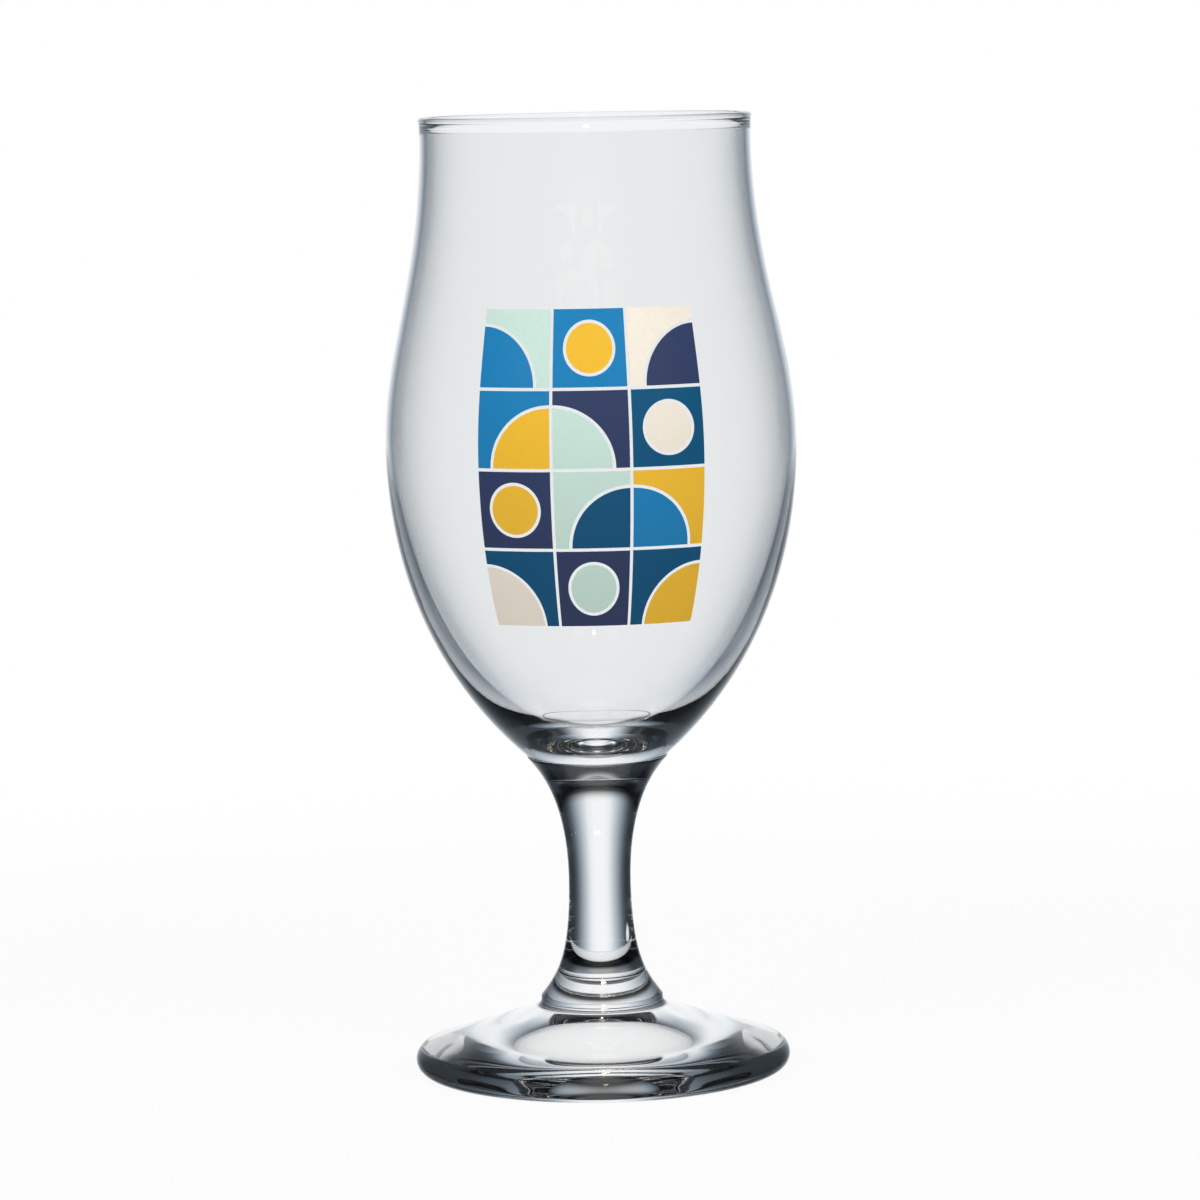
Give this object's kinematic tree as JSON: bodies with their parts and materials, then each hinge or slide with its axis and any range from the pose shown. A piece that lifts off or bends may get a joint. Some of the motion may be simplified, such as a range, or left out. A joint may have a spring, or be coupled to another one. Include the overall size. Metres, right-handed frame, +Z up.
{
  "type": "stemmed beer glass",
  "caption": "Clear stemmed tulip beer glass: blown bowl with rounded lip, waisted solid stem and conical foot, with a fired enamel tile print on the front of the bowl.",
  "frame": {"origin": "centre of the flat ring that the foot stands on, on the axis of the glass", "axes": "+Z up along the axis from the foot to the lip, -Y towards the printed front"},
  "size_m": [0.0792, 0.0795, 0.1853],
  "materials": {
    "clear_glass": "fire-polished clear soda-lime glass",
    "enamel_blue": "fired screen-printed enamel, satin gloss",
    "enamel_deep_blue": "fired screen-printed enamel, satin gloss",
    "enamel_mint": "fired screen-printed enamel, satin gloss",
    "enamel_yellow": "fired screen-printed enamel, satin gloss",
    "enamel_cream": "fired screen-printed enamel, satin gloss",
    "enamel_navy": "fired screen-printed enamel, satin gloss"
  },
  "bodies": {
    "root": {"bowl": "clear_glass", "stem": "clear_glass", "foot": "clear_glass", "tile_1_1_quarter": "enamel_blue", "tile_1_1_ground": "enamel_mint", "tile_1_2_disc": "enamel_yellow", "tile_1_2_ground": "enamel_blue", "tile_1_3_quarter": "enamel_navy", "tile_1_3_ground": "enamel_cream", "tile_2_1_quarter": "enamel_yellow", "tile_2_1_ground": "enamel_blue", "tile_2_2_quarter": "enamel_mint", "tile_2_2_ground": "enamel_navy", "tile_2_3_disc": "enamel_cream", "tile_2_3_ground": "enamel_deep_blue", "tile_3_1_disc": "enamel_yellow", "tile_3_1_ground": "enamel_navy", "tile_3_2_quarter": "enamel_deep_blue", "tile_3_2_ground": "enamel_mint", "tile_3_3_quarter": "enamel_blue", "tile_3_3_ground": "enamel_yellow", "tile_4_1_quarter": "enamel_cream", "tile_4_1_ground": "enamel_deep_blue", "tile_4_2_disc": "enamel_mint", "tile_4_2_ground": "enamel_navy", "tile_4_3_quarter": "enamel_yellow", "tile_4_3_ground": "enamel_deep_blue"}
  },
  "joints": []
}
